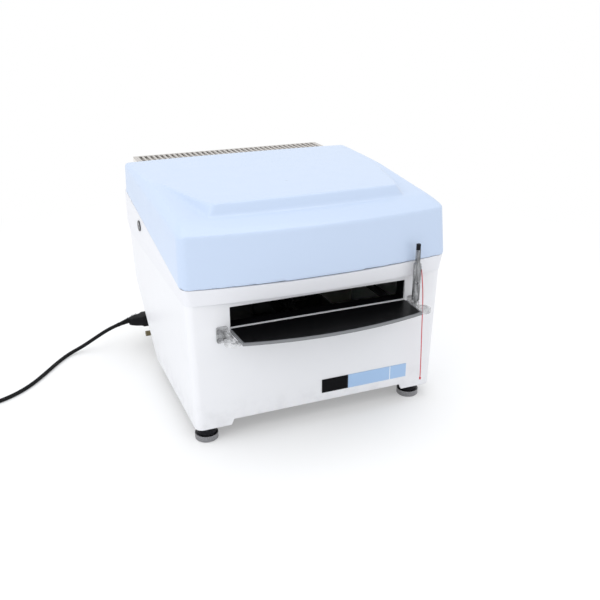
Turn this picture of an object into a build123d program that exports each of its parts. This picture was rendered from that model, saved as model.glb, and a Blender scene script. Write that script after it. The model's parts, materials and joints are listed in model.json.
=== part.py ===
"""Bench reader for microplates: hinged lid, plate door with drop-down shelf, moving plate carrier.

Millimetres, +Z up, front towards -Y. Depths in this file count back from the front face.
"""
import math
import os

from build123d import *

# Overall sizes
FRONT = -191.4
SKIRT_Z = 22.0
BODY_TOP_Z = 231.0
COLLAR_Z = 257.3
PARTING_SLOPE = 0.1436
BODY_HALF_LOW = 207.0
BODY_HALF_TOP = 213.5
BODY_DEPTH = 402.0
LID_HALF_LOW = 220.3
LID_HALF_HIGH = 217.3
LID_REAR = 386.0
HOOD_HALF = 187.0
HOOD_FRONT = 397.0
HOOD_REAR = 457.0
HOOD_TOP_Z = 357.5
WALL = 3.5
SHEET = 2.0
GAP = 0.3
FIT = 0.05

# Front opening and its shelf
SLOT_HALF = 147.5
SLOT_LOW_Z = 187.6
SLOT_TOP_Z = 221.2
STEP_LOW_HALF = 151.0
STEP_TOP_HALF = 146.5
STEP_RISE = 9.5
HINGE_BACK = -3.4
HINGE_Z = 185.2
HINGE_R = 1.2
SHELF_PLAN = (147.4, -1.0, -56.0, 17.6)
TRIM_PLAN = (149.8, -6.5, -58.0, 18.0)
SHELF_LOW_Z = 183.2
SHELF_TOP_Z = 187.0
TRIM_TOP_Z = 187.6
LABEL_Z = (45.5, 69.5)

# Lower rear corner, cut back along a slope on both sides
SLOPE_LOW = (270.0, SKIRT_Z)
SLOPE_TOP = (BODY_DEPTH, 140.0)
BAY_HALF = 188.0
TAIL_HALF = 172.0
TAIL_START = 420.0

# Plate stage
RAIL_X = 150.0
RAIL_Z = 167.0
BRIDGE_BACK = 295.0
PLATE_BACK = 200.0
SCREW_Z = 186.0
BELT_Z = 145.0
PULLEY_R = 9.5
IDLER_BACK = 44.0
DRIVE_BACK = 378.0

# Levelling feet: side offset and depth
FEET = {"front_left": (-188.0, 15.0), "front_right": (174.8, 19.5),
        "rear_left": (-150.0, 300.0), "rear_right": (150.0, 300.0)}

# Lid: side edge line, crown sections as (side step, front step, lift, slope), raised deck
EDGE_Z = 333.0
EDGE_BACK = 5.0
EDGE_SLOPE = 0.065
CROWN = ((0, 0, 0, EDGE_SLOPE), (3.5, 12, 4.4, 0.075), (7.5, 24, 7.6, 0.088), (12.5, 36, 10.2, 0.10),
         (30, 44, 10.7, 0.10), (52, 50, 11, 0.10))
PLATEAU_SIDE = [(153, 52), (166, 90), (181, 150), (196, 215), (208, 290), (215, 378)]
PLATEAU_CORNER_R = 9.0
PLATEAU_FOOT_Z = 338.0
FOOT_FORWARD = 14.0
FOOT_OUTWARD = 13.0
DECK_Z = 364.5
DOME_R = 20000.0
HINGE_LID_BACK = 391.5
HINGE_LID_Z = 349.0
HINGE_X = 140.0

# Key switch on the left of the collar: depth and height
LOCK = (277.0, 276.0)

# Pin in the right bracket, its screws, and the thin cord on it
PIN = (156.2, -20.0)
PIN_GRIP = (190.6, 256.0)
PIN_TOP_Z = 277.0
TIP_TOP_Z = 286.5
EAR_R = 12.5
EAR_X = 157.5
EAR_BACK = -42.0
EAR_LOW_Z = 181.2
TAB_OUTER = 169.5
BRACKET_SCREWS = [(sx * x, z) for sx in (-1, 1) for x, z in ((165.8, 172.5), (157.0, 171.0), (165.8, 186.5))]
HEAD_R = 2.9
REAR_SCREWS = [(-180, 340), (-60, 340), (60, 340), (180, 340), (-160, 48), (0, 48), (160, 48)]
CORD_D = 1.6
CORD_POINTS = [(164.2, -20, 243), (167.2, -20.2, 222), (169.2, -20.4, 202), (170.5, -20.2, 181),
               (171.3, -20, 158), (172.1, -19.8, 134), (173.0, -19.9, 109), (173.8, -20, 84), (174.4, -20, 62),
               (174.6, -20, 45)]

# Left rear corner: inlet, rocker, sockets and earth stud as depth and height
INLET = (385.0, 55.0)
ROCKER = (404.0, 99.0)
SOCKETS = (376.0, 88.0)
EARTH = (340.0, 44.0)

# Fan and grille
FAN_X = 85.0
FAN_Z = 240.0
GRILLE_PITCH = 10.0

# Optics
HEAD_Z = 280.0
WHEEL_BACK = 172.0
WHEEL_X = 76.0

# Mains lead: hand-chosen points, depth counted from the front face
LEAD_D = 7.0
LEAD_POINTS = [(-252, 386.2, 51.5), (-270.8, 388.2, 45.1), (-296, 395.5, 28.5), (-324, 401, 10.5),
               (-352, 391, 3.9), (-375, 364, 3.8), (-397, 333, 3.7), (-419, 303, 3.8), (-440, 280, 3.7),
               (-465, 261, 3.7), (-491, 249, 3.7), (-516, 245, 3.7), (-541, 245, 3.7)]
COIL_START = (-548.0, 245.0, 3.7)
COIL_OUTER = 48.0
COIL_PITCH = 7.6
COIL_TURNS = 3
TAIL_POINTS = [(-555, 245, 11.3), (-575, 245, 11.3), (-597, 249, 7.4), (-622, 256, 4.6), (-648, 264, 6.2),
               (-671, 271.2, 11.4), (-691, 277, 13)]


def back(depth):
    """World y of a point this far behind the front face."""
    return FRONT + depth


def block(x0, x1, y0, y1, z0, z1):
    """Block between two corners."""
    centre = Pos((x0 + x1) / 2, back((y0 + y1) / 2), (z0 + z1) / 2)
    return centre * Box(x1 - x0, y1 - y0, z1 - z0)


def rod_x(x0, x1, y, z, radius):
    """Round bar along X."""
    return Pos((x0 + x1) / 2, back(y), z) * Rot(0, 90, 0) * Cylinder(radius, x1 - x0)


def rod_y(x, y0, y1, z, radius):
    """Round bar along Y."""
    return Pos(x, back((y0 + y1) / 2), z) * Rot(90, 0, 0) * Cylinder(radius, y1 - y0)


def rod_z(x, y, z0, z1, radius):
    """Round bar along Z."""
    return Pos(x, back(y), (z0 + z1) / 2) * Cylinder(radius, z1 - z0)


def mirrored(shape):
    """The shape and its mirror image across the middle plane."""
    return shape + mirror(shape, about=Plane.YZ)


def side_prism(points, x0, x1):
    """Profile of (depth, height) points, run from x0 to x1."""
    face = Plane.YZ * make_face(Polyline([(back(y), z) for y, z in points], close=True))
    return Pos(x0, 0, 0) * extrude(face, amount=x1 - x0)


def outline(half, front, rear, bow, front_r, rear_r):
    """Plan face: straight sides and rear, front bowed forward."""
    left, right = (-half, front), (half, front)
    nose = ThreePointArc(left, (0, front - bow), right) if bow else Line(left, right)
    loop = nose + Line(right, (half, rear)) + Line((half, rear), (-half, rear)) + Line((-half, rear), left)
    face = make_face(loop)
    face = fillet(face.vertices().group_by(Axis.Y)[0], max(front_r, 3))
    return fillet(face.vertices().group_by(Axis.Y)[-1], max(rear_r, 1))


def level(z):
    """Flat plane at a height, its origin on the front face."""
    return Plane(origin=(0, FRONT, z))


def sloped(y, z, slope):
    """Plane rising to the rear by the slope."""
    return Plane(origin=(0, back(y), z), x_dir=(1, 0, 0), z_dir=(0, -slope, 1))


def parting(offset):
    """Plane of the seam between collar and lid, shifted by an offset."""
    return sloped(0, COLLAR_Z, PARTING_SLOPE).offset(offset)


def above(shape, plane):
    """What lies over the plane."""
    return split(shape, bisect_by=plane, keep=Keep.TOP)


def below(shape, plane):
    """What lies under the plane."""
    return split(shape, bisect_by=plane, keep=Keep.BOTTOM)


# Housing: front and sides in one moulding
def body_form(inset, rear):
    """Housing as a solid; a larger inset gives its hollow."""
    low = outline(BODY_HALF_LOW - inset, inset, rear, 0, 12 - inset, 1)
    top = outline(BODY_HALF_TOP - inset, inset, rear, 0, 12 - inset, 1)
    return loft([level(SKIRT_Z) * low, level(BODY_TOP_Z - GAP) * top], ruled=True)


def slope_band(thick):
    """Wedge behind the sloped line, and the band of wall along it."""
    (y0, z0), (y1, z1) = SLOPE_LOW, SLOPE_TOP
    wide = BODY_HALF_TOP + 10
    wedge = side_prism([(y0 - 20, z0 - 17.9), (y1, z1), (y1 + 40, z1), (y1 + 40, z0 - 17.9)], -wide, wide)
    band = side_prism([(y0 - 20, z0 - 17.9), (y1, z1), (y1, z1 + thick), (y0 - 20, z0 - 17.9 + thick)],
                      -wide, wide)
    return wedge, band


def front_wall(half):
    """Flat middle of the front with its slot, screw holes and the step in its lower edge."""
    wall = block(-half, half, 0, WALL, SKIRT_Z, BODY_TOP_Z - GAP)
    step = [(-STEP_LOW_HALF, 0), (STEP_LOW_HALF, 0), (STEP_LOW_HALF, SKIRT_Z),
            (STEP_TOP_HALF, SKIRT_Z + STEP_RISE), (-STEP_TOP_HALF, SKIRT_Z + STEP_RISE),
            (-STEP_LOW_HALF, SKIRT_Z)]
    wall -= side_round(step, -5, WALL + 5)
    mouth = block(-SLOT_HALF, SLOT_HALF, -5, WALL + 5, SLOT_LOW_Z, SLOT_TOP_Z)
    wall -= fillet(mouth.edges().filter_by(Axis.Y), 1.5)
    for x, z in BRACKET_SCREWS:
        wall -= rod_y(x, -8, WALL + 4, z, 1.5 + FIT)
    return wall


def housing_shell():
    """Front and sides in one moulding, open at the rear, its lower rear corners cut back."""
    wedge, band = slope_band(4.5)
    solid = body_form(0, BODY_DEPTH)
    shell = solid - body_form(WALL, BODY_DEPTH + 20)
    shell -= block(-BAY_HALF - 0.6, BAY_HALF + 0.6, 200, 500, 0, 300)
    sills = solid & (band - block(-BAY_HALF - 0.6, BAY_HALF + 0.6, 0, 500, 0, 300))
    flange = block(-BODY_HALF_TOP, -HOOD_HALF - 0.5, BODY_DEPTH - 3, BODY_DEPTH, 140, BODY_TOP_Z - 4)
    shell += sills + (mirrored(flange) & solid)
    shell -= wedge + block(-HOOD_HALF - GAP, HOOD_HALF + GAP, HOOD_FRONT - GAP, 500, 137, 300)
    middle = 185
    return shell - block(-middle, middle, -5, WALL + 5, 0, 300) + front_wall(middle)


def base_plate():
    """Floor sheet with turned-up rims, inside the housing and the rear panels."""
    half = BODY_HALF_LOW - WALL - 0.6
    plate = block(-half, half, 4.2, 264, 33, 36)
    plate += block(-BAY_HALF + 3, BAY_HALF - 3, 264, TAIL_START - 2, 33, 36)
    plate += block(-TAIL_HALF + 3, TAIL_HALF - 3, TAIL_START - 2, HOOD_REAR - 2.5, 33, 36)
    rims = block(-half, half, 4.2, 6.2, 36, 50) + mirrored(block(-half, 2 - half, 6.2, 240, 36, 50))
    for x, y in FEET.values():
        rims -= rod_z(x, y, 20, 40, 3.2)
        plate -= rod_z(x, y, 20, 40, 3.2)
    return (plate + rims) & (body_form(WALL + 0.6, 262) + block(-BAY_HALF, BAY_HALF, 200, HOOD_REAR, 30, 60))


def bay_panel(side):
    """Bent sheet that closes one lower rear corner; side is -1 left, 1 right."""
    outer = [(BAY_HALF, 272), (BAY_HALF, TAIL_START), (TAIL_HALF, TAIL_START), (TAIL_HALF, HOOD_REAR - 2.3)]
    inner = [(TAIL_HALF - SHEET, HOOD_REAR - 2.3), (TAIL_HALF - SHEET, TAIL_START - SHEET),
             (BAY_HALF - SHEET, TAIL_START - SHEET), (BAY_HALF - SHEET, 272)]
    face = make_face(Polyline([(side * x, back(y)) for x, y in outer + inner], close=True))
    return extrude(Pos(0, 0, 33) * face, amount=104.5)


def connector_panel():
    """Left bay panel with its openings and the welded earth stud with its nut."""
    panel = bay_panel(-1)
    for (y, z), (wide, tall) in ((INLET, (28.4, 20.4)), (ROCKER, (13.4, 19.4)), (SOCKETS, (27, 10))):
        panel -= block(-BAY_HALF - 5, -BAY_HALF + 5, y - wide / 2, y + wide / 2, z - tall / 2, z + tall / 2)
    y, z = EARTH
    panel += rod_x(-BAY_HALF - 20, -BAY_HALF + 1, y, z, 2.5)
    nut = Plane(origin=(-BAY_HALF, back(y), z), z_dir=(-1, 0, 0)) * RegularPolygon(4.8, 6)
    return panel + extrude(nut, amount=4)


def power_inlet():
    """Mains inlet with its three blades and two screw flanges."""
    y, z = INLET
    face_x = -BAY_HALF
    body = block(face_x - 3, face_x, y - 25, y + 25, z - 13.5, z + 13.5)
    body = fillet(body.edges().filter_by(Axis.X), 4)
    body += block(face_x, face_x + 22, y - 14, y + 14, z - 10, z + 10)
    body -= block(face_x - 4, face_x + 13, y - 12.3, y + 12.3, z - 8.3, z + 8.3)
    for dy in (-20, 20):
        body -= Pos(face_x - 3, back(y + dy), z) * Rot(0, 90, 0) * Cone(3.2, 1.2, 4)
    for dy, dz in ((-7, -2), (7, -2), (0, 3)):
        body += block(face_x + 13, face_x + 25, y + dy - 1, y + dy + 1, z + dz - 2, z + dz + 2)
    return body


def io_sockets():
    """Data socket with its two jack screws."""
    y, z = SOCKETS
    face_x = -BAY_HALF
    shell = block(face_x - 1.2, face_x, y - 17, y + 17, z - 7, z + 7)
    shell += block(face_x, face_x + 12, y - 13.2, y + 13.2, z - 4.8, z + 4.8)
    shell += block(face_x - 5, face_x - 1.2, y - 9, y + 9, z - 4.2, z + 4.2)
    shell -= block(face_x - 6, face_x + 6, y - 8, y + 8, z - 3.2, z + 3.2)
    for dy in (-13, 13):
        shell += rod_x(face_x - 4.5, face_x - 1.2, y + dy, z, 2.4)
    return shell


def rocker_frame():
    """Frame of the mains rocker, with its two terminals."""
    y, z = ROCKER
    face_x = -BAY_HALF
    frame = block(face_x - 1.6, face_x, y - 8.5, y + 8.5, z - 11.5, z + 11.5)
    frame += block(face_x, face_x + 20, y - 6.6, y + 6.6, z - 9.6, z + 9.6)
    frame -= block(face_x - 3, face_x + 9, y - 5.4, y + 5.4, z - 8.6, z + 8.6)
    for offset in (-3, 3):
        frame += rod_x(face_x + 20, face_x + 26, y + offset, z, 1.5)
    return frame


def power_rocker():
    """Rocker on a cross pin along Y, its pivot just inside the frame."""
    y, z = ROCKER
    face_x = -BAY_HALF
    pad = side_round([(face_x + 6.0, z - 4.2), (face_x - 0.4, z - 8.0), (face_x - 2.2, z - 7.6),
                      (face_x - 1.0, z), (face_x - 2.2, z + 7.6), (face_x - 0.4, z + 8.0),
                      (face_x + 6.0, z + 4.2)], y - 5.1, y + 5.1)
    return pad


def side_round(points, y0, y1):
    """Profile of (x, height) points, run from depth y0 to y1."""
    face = Plane.XZ * make_face(Polyline(points, close=True))
    return Pos(0, back(y1), 0) * extrude(face, amount=y1 - y0)


def earth_knob():
    """Knurled knob on the earth stud."""
    y, z = EARTH
    start = -BAY_HALF
    knob = rod_x(start - 24, start - 12, y, z, 5) + rod_x(start - 12, start - 8, y, z, 3.6)
    for k in range(12):
        turn = math.radians(30 * k)
        knob -= rod_x(start - 23, start - 13, y + 5.2 * math.cos(turn), z + 5.2 * math.sin(turn), 0.6)
    return knob - rod_x(start - 22, start, y, z, 2.5 + FIT)


# Rear hood and its top grille
def rear_hood():
    """Rear cover with its fan mouth, vent slots and lower tail."""
    hood = block(-HOOD_HALF, HOOD_HALF, HOOD_FRONT, HOOD_REAR, 138.2, HOOD_TOP_Z - SHEET)
    hood -= block(SHEET - HOOD_HALF, HOOD_HALF - SHEET, HOOD_FRONT + SHEET, HOOD_REAR - SHEET,
                  138.2 + SHEET, HOOD_TOP_Z)
    hood += block(-TAIL_HALF, TAIL_HALF, HOOD_REAR - SHEET, HOOD_REAR, 33, 139)
    hood -= block(3 - TAIL_HALF, TAIL_HALF - 3, HOOD_FRONT - 1, HOOD_REAR - SHEET, 130, 150)
    hood -= block(-150, 150, HOOD_FRONT - 1, HOOD_FRONT + 3, 150, 300)
    hood -= rod_y(FAN_X, HOOD_REAR - 4, HOOD_REAR + 1, FAN_Z, 37)
    for row in range(-3, 4):
        z = FAN_Z + row * 10
        hood += block(FAN_X - 38, FAN_X + 38, HOOD_REAR - SHEET, HOOD_REAR, z - 1.2, z + 1.2)
    for x, z in REAR_SCREWS:
        hood -= rod_y(x, HOOD_REAR - 9, HOOD_REAR + 1, z, 1.5 + FIT)
    for k in range(9):
        hood -= block(-150 + k * 12, -144 + k * 12, HOOD_REAR - 4, HOOD_REAR + 1, 60, 110)
    return hood


def rear_grille():
    """Top grille of the rear cover: frame, slats and one cross bar."""
    plate = block(-HOOD_HALF, HOOD_HALF, HOOD_FRONT, HOOD_REAR, HOOD_TOP_Z - SHEET, HOOD_TOP_Z)
    plate -= block(-HOOD_HALF + 6, HOOD_HALF - 6, HOOD_FRONT + 5, HOOD_REAR - 4, 300, HOOD_TOP_Z + 1)
    for k in range(37):
        x = (k - 18) * GRILLE_PITCH
        plate += block(x - 2, x + 2, HOOD_FRONT + 5, HOOD_REAR - 4, HOOD_TOP_Z - 4, HOOD_TOP_Z)
    return plate + block(-HOOD_HALF + 4, HOOD_HALF - 4, HOOD_FRONT + 28, HOOD_FRONT + 31, HOOD_TOP_Z - 4,
                         HOOD_TOP_Z - 1)


def fan_frame():
    """Fan frame with hub, spokes and shaft."""
    x = FAN_X
    frame = block(x - 40, x + 40, HOOD_REAR - 27.3, HOOD_REAR - 2.3, FAN_Z - 40, FAN_Z + 40)
    frame = fillet(frame.edges().filter_by(Axis.Y), 4)
    frame -= rod_y(x, HOOD_REAR - 28, HOOD_REAR, FAN_Z, 37.5)
    hub = rod_y(x, HOOD_REAR - 27.3, HOOD_REAR - 23.3, FAN_Z, 15)
    spokes = block(x - 38, x + 38, HOOD_REAR - 27.3, HOOD_REAR - 24.3, FAN_Z - 2, FAN_Z + 2)
    spokes += block(x - 2, x + 2, HOOD_REAR - 27.3, HOOD_REAR - 24.3, FAN_Z - 38, FAN_Z + 38)
    for dx in (-35.75, 35.75):
        for dz in (-35.75, 35.75):
            frame -= rod_y(x + dx, HOOD_REAR - 28, HOOD_REAR, FAN_Z + dz, 2.15)
    shaft = rod_y(x, HOOD_REAR - 24, HOOD_REAR - 6, FAN_Z, 2)
    return frame + hub + spokes + shaft


def fan_rotor():
    """Fan rotor with seven blades."""
    x = FAN_X
    rotor = rod_y(x, HOOD_REAR - 22.5, HOOD_REAR - 5, FAN_Z, 17)
    blade = Pos(x, back(HOOD_REAR - 13.5), FAN_Z + 26) * Rot(0, 0, 38) * Box(20, 1.6, 20)
    for k in range(7):
        rotor += blade.rotate(Axis((x, 0, FAN_Z), (0, 1, 0)), k * 360 / 7)
    rotor &= rod_y(x, HOOD_REAR - 22.5, HOOD_REAR - 4.5, FAN_Z, 36)
    return rotor - rod_y(x, HOOD_REAR - 30, HOOD_REAR - 5.5, FAN_Z, 2 + FIT)


# Collar under the lid, bowed at the front
def collar_form(inset):
    """Collar as a solid; a larger inset gives its hollow."""
    low = outline(214.5 - inset, inset, LID_REAR + 10 - inset, 15, max(14 - inset * 0.7, 4), 4)
    mid = outline(218.3 - inset, inset - 1.5, LID_REAR + 10 - inset, 17, max(14 - inset * 0.7, 4), 4)
    lower = loft([level(BODY_TOP_Z) * low, level(COLLAR_Z) * mid], ruled=True)
    return lower + extrude(level(COLLAR_Z) * mid, amount=70)


def collar_frame():
    """Collar on the housing that carries the lid's seal and the key switch."""
    outer = collar_form(0)
    frame = below(outer - collar_form(WALL), parting(-0.7))
    foot = (outer - collar_form(24)) & block(-230, 230, -30, 420, BODY_TOP_Z, BODY_TOP_Z + 3)
    shelf = outer - collar_form(14)
    shelf = above(below(shelf, parting(-5.5)), parting(-8.5))
    frame += foot + shelf
    frame -= block(-230, 230, LID_REAR + 5, 430, COLLAR_Z + PARTING_SLOPE * LID_REAR, 400)
    return frame - rod_x(-225, -205, LOCK[0], LOCK[1], 7.1)


def lid_seal():
    """Rubber ring that the shut lid rests on."""
    ring = collar_form(5) - collar_form(10)
    ring = above(below(ring, parting(-1.0)), parting(-5.5))
    return ring - block(-230, 230, LID_REAR - 4, 430, 200, 400)


def lock_ring():
    """Ring and nut of the key switch."""
    y, z = LOCK
    ring = rod_x(-220.2, -218.3, y, z, 9.2) + rod_x(-218.3, -214.5, y, z, 7.0)
    nut = rod_x(-214.5, -211.5, y, z, 9.5)
    return ring + nut - rod_x(-222, -205, y, z, 5.5 + FIT)


def lock_barrel():
    """Barrel of the key switch with its key slot and cam."""
    y, z = LOCK
    barrel = rod_x(-219.8, -196, y, z, 5.5)
    barrel -= block(-221, -218.6, y - 4.2, y + 4.2, z - 0.7, z + 0.7)
    cam = block(-199, -196, y - 5.5, y + 16, z - 5.5, z + 5.5)
    return barrel + fillet(cam.edges().filter_by(Axis.X), 3)


# Lid
def dome(top):
    """Very large round bar whose crest gives the top its slight crown."""
    return Pos(0, 0, top - DOME_R) * Rot(90, 0, 0) * Cylinder(DOME_R, 1400)


def lid_section(inset, step, advance, lift, slope):
    """One crown section: stepped in at the sides and front, lifted and tilted."""
    face = outline(LID_HALF_HIGH - inset - step, 2 + inset + advance, LID_REAR - 0.5 - EDGE_BACK - inset, 16,
                   15 - inset - 0.15 * step, 6 - inset)
    return sloped(EDGE_BACK, EDGE_Z + lift - inset, slope) * face


def plateau_face(inset, grow_front, grow_side):
    """Top of the raised deck, wider towards the rear."""
    points = [(x + grow_side - inset, y) for x, y in PLATEAU_SIDE]
    points[0] = (points[0][0], points[0][1] - grow_front + inset)
    right = Spline(points)
    left = Spline([(-x, y) for x, y in reversed(points)])
    nose = ThreePointArc(left @ 1, (0, points[0][1] - 5), right @ 0)
    face = make_face(nose + right + Line(right @ 1, left @ 0) + left)
    return fillet(face.vertices().group_by(Axis.Y)[0], PLATEAU_CORNER_R)


def lid_form(inset):
    """Lid as a solid; a larger inset gives its hollow."""
    low = level(250) * outline(LID_HALF_LOW - inset, inset - 3, LID_REAR - 0.5 - inset,
                               16, 15 - inset, 6 - inset)
    rim = lid_section(inset, *CROWN[0])
    walls = loft([low, rim], ruled=True)
    crown = loft([lid_section(inset, *row) for row in CROWN], ruled=True)
    plateau = loft([level(PLATEAU_FOOT_Z - inset) * plateau_face(inset, FOOT_FORWARD, FOOT_OUTWARD),
                    level(DECK_Z - inset) * plateau_face(inset, 0, 0),
                    level(DECK_Z + 7.5 - inset) * plateau_face(inset, -4, -3)], ruled=True)
    raised = plateau & (walls + extrude(rim, amount=60)) & dome(DECK_Z + 0.6 - inset)
    return walls + (crown & dome(DECK_Z + 0.3 - inset)) + raised


def lid_shell():
    """Moulded lid with the inner flange that rests on the seal."""
    outer = lid_form(0)
    flange = above(below(outer - collar_form(26), parting(4.2)), parting(1.2))
    shell = outer - lid_form(4) + (flange - block(-250, 250, LID_REAR - 26, 430, 200, 330))
    return above(shell, parting(0))


def lid_hinge_leaves():
    """Two fixed leaves on the hood's front wall, each with its outer knuckles and pin."""
    leaves = Part()
    for x in (-HINGE_X, HINGE_X):
        leaf = block(x - 30, x + 30, HOOD_FRONT - 2, HOOD_FRONT, 322, HINGE_LID_Z - 4.5)
        for sign in (-1, 1):
            leaf += rod_x(x + sign * 20 - 10, x + sign * 20 + 10, HINGE_LID_BACK, HINGE_LID_Z, 3.8)
            leaf += block(x + sign * 20 - 10, x + sign * 20 + 10, HINGE_LID_BACK, HOOD_FRONT,
                          HINGE_LID_Z - 4.5, HINGE_LID_Z - 1)
        leaf += rod_x(x - 30, x + 30, HINGE_LID_BACK, HINGE_LID_Z, 2.0)
        leaves += leaf
    return leaves


def lid_hinge_arms():
    """Two moving leaves on the lid's rear wall."""
    arms = Part()
    for x in (-HINGE_X, HINGE_X):
        arm = rod_x(x - 9.7, x + 9.7, HINGE_LID_BACK, HINGE_LID_Z, 3.8)
        arm += block(x - 9.7, x + 9.7, LID_REAR - 3, HINGE_LID_BACK, HINGE_LID_Z - 3.8, HINGE_LID_Z - 1)
        arm += block(x - 25, x + 25, LID_REAR - 3, LID_REAR + 1.2, HINGE_LID_Z - 24, HINGE_LID_Z)
        arm -= rod_x(x - 12, x + 12, HINGE_LID_BACK, HINGE_LID_Z, 2.0 + FIT)
        arms += arm
    return arms - lid_form(0)


# Drop-down shelf at the opening
def shelf_face(side, rear, corner, bow):
    """Plan of the shelf: straight rear and sides, bowed front."""
    points = [(side, rear), (side - 2.6, corner)]
    nose = ThreePointArc((-points[1][0], back(corner)), (0, back(corner - bow)), (points[1][0], back(corner)))
    loop = nose + Line(nose @ 1, (side, back(rear))) + Line((side, back(rear)), (-side, back(rear)))
    return make_face(loop + Line((-side, back(rear)), nose @ 0))


def shelf_top():
    """Black board, bored for the hinge rod."""
    top = extrude(Pos(0, 0, SHELF_LOW_Z) * shelf_face(*SHELF_PLAN), amount=SHELF_TOP_Z - SHELF_LOW_Z)
    return top - rod_x(-160, 160, HINGE_BACK, HINGE_Z, HINGE_R)


def shelf_trim():
    """Grey edging round the front and sides of the board."""
    outer = extrude(Pos(0, 0, SHELF_LOW_Z) * shelf_face(*TRIM_PLAN), amount=TRIM_TOP_Z - SHELF_LOW_Z)
    inner = extrude(Pos(0, 0, SHELF_LOW_Z - 3) * shelf_face(*SHELF_PLAN), amount=20)
    return outer - inner


def shelf_rod():
    """Hinge rod along the rear of the board."""
    return rod_x(-157.5, 157.5, HINGE_BACK, HINGE_Z, HINGE_R)


def shelf_bracket(side):
    """Clear cheek: screwed tab, arm and rounded ear that the open shelf rests on."""
    inner = 152.4
    tab = block(inner, TAB_OUTER, -3, 0, 166.5, 192.5)
    tab = fillet(tab.edges().filter_by(Axis.Y), 3)
    arm = block(inner, inner + 7.4, EAR_BACK + 1, -3, EAR_LOW_Z, SHELF_TOP_Z)
    ear = rod_z(EAR_X, EAR_BACK, EAR_LOW_Z, SHELF_TOP_Z, EAR_R)
    ear -= block(130, inner, -80, 0, SHELF_LOW_Z - 0.2, SHELF_TOP_Z + 3)
    lug = block(inner, inner + 7.4, -7.5, -3, EAR_LOW_Z, 190.5)
    cheek = tab + arm + ear + lug
    cheek -= rod_x(150, 157.8, HINGE_BACK, HINGE_Z, HINGE_R + FIT)
    for x, z in BRACKET_SCREWS[3:]:
        cheek -= rod_y(x, -5, 1, z, 1.5 + FIT)
    if side < 0:
        return mirror(cheek, about=Plane.YZ)
    x, y = PIN
    cheek += rod_z(x, y, 176.5, 189, 6.5)
    return cheek - rod_z(x, y, 170, 195, 2.5 + FIT)


def lock_pin():
    """Drop-in pin: flat grip, narrow neck and round spigot in the bracket's boss."""
    x, y = PIN
    low, high = PIN_GRIP
    grip = block(x - 5.4, x + 5.4, y - 3, y + 3, low, high)
    grip = chamfer(grip.edges().filter_by(Axis.Y), 2.2)
    grip -= rod_y(x, y - 5, y + 5, low + 31, 2.6)
    neck = block(x - 3.2, x + 3.2, y - 2.4, y + 2.4, high, PIN_TOP_Z)
    ring = block(x + 5.4, x + 7.2, y - 1.6, y + 1.6, high - 16, high - 7)
    return grip + neck + ring + rod_z(x, y, 174, low, 2.5)


def lock_pin_tip():
    """Black cap on the pin."""
    x, y = PIN
    tip = block(x - 3.1, x + 3.1, y - 2.8, y + 2.8, PIN_TOP_Z, TIP_TOP_Z)
    return fillet(tip.edges().filter_by(Axis.Z), 1.5)


def label_dark():
    """Bare dark half of the front label."""
    return block(3, 49.6, -0.8, 0, *LABEL_Z)


def label_blue():
    """Bare blue half of the front label."""
    return block(49.9, 157.5, -0.8, 0, *LABEL_Z)


# Opening tunnel and the deck under the lid
def slot_tunnel():
    """Short tunnel behind the front slot."""
    tube = block(-SLOT_HALF - 2, SLOT_HALF + 2, 3.8, 26, SLOT_LOW_Z - 2, SLOT_TOP_Z + 2)
    return tube - block(-SLOT_HALF, SLOT_HALF, 0, 30, SLOT_LOW_Z, SLOT_TOP_Z)


def deck_plate():
    """Black deck under the lid."""
    half = BODY_HALF_TOP - WALL - 1.2
    deck = block(-half, half, 6, 392, 224.5, 227.5)
    deck -= rod_z(0, PLATE_BACK, 220, 230, 26)
    deck += mirrored(block(-half, 2 - half, 6, 392, 214.5, 224.5))
    deck -= block(-180, -120, 300, 360, 220, 230)
    return deck & body_form(WALL + 1.0, BODY_DEPTH)


def optics_head():
    """Head block over the plate, with its objective tube reaching down."""
    head = block(-44, 44, PLATE_BACK - 22, PLATE_BACK + 52, 227.5, 306)
    head = fillet(head.edges().filter_by(Axis.Z), 5)
    head -= rod_x(-50, 50, PLATE_BACK, HEAD_Z, 12)
    head += rod_z(0, PLATE_BACK, 214, 230, 14.3) + rod_z(0, PLATE_BACK, 214, 222, 20)
    return head - rod_z(0, PLATE_BACK, 210, HEAD_Z, 10)


def lamp_housing():
    """Lamp housing with cooling slots."""
    box = block(-188, -112, 186, 262, 227.5, 304)
    for k in range(7):
        box -= block(-189, -120, 192 + k * 10, 197 + k * 10, 284, 305)
    return box - rod_x(-114, -100, PLATE_BACK, HEAD_Z, 12)


def detector_tube():
    """Round detector on its foot."""
    tube = rod_x(104, 178, PLATE_BACK + 8, HEAD_Z, 26)
    tube += block(112, 170, PLATE_BACK - 12, PLATE_BACK + 28, 227.5, 258)
    return tube - rod_x(100, 112, PLATE_BACK, HEAD_Z, 12)


def filter_wheel(side):
    """Filter wheel with eight holes; side is -1 left, 1 right."""
    x = side * WHEEL_X
    low, high = x - 4, x + 4
    wheel = rod_x(low, high, WHEEL_BACK, HEAD_Z, 42)
    for k in range(8):
        turn = math.radians(45 * k + 90)
        wheel -= rod_x(low - 1, high + 1, WHEEL_BACK + 28 * math.sin(turn), HEAD_Z + 28 * math.cos(turn), 9)
    inner = sorted((x - side * 8, x + side * 4))
    wheel += rod_x(inner[0], inner[1], WHEEL_BACK, HEAD_Z, 9)
    return wheel - rod_x(low - 6, high + 6, WHEEL_BACK, HEAD_Z, 3 + FIT)


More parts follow.
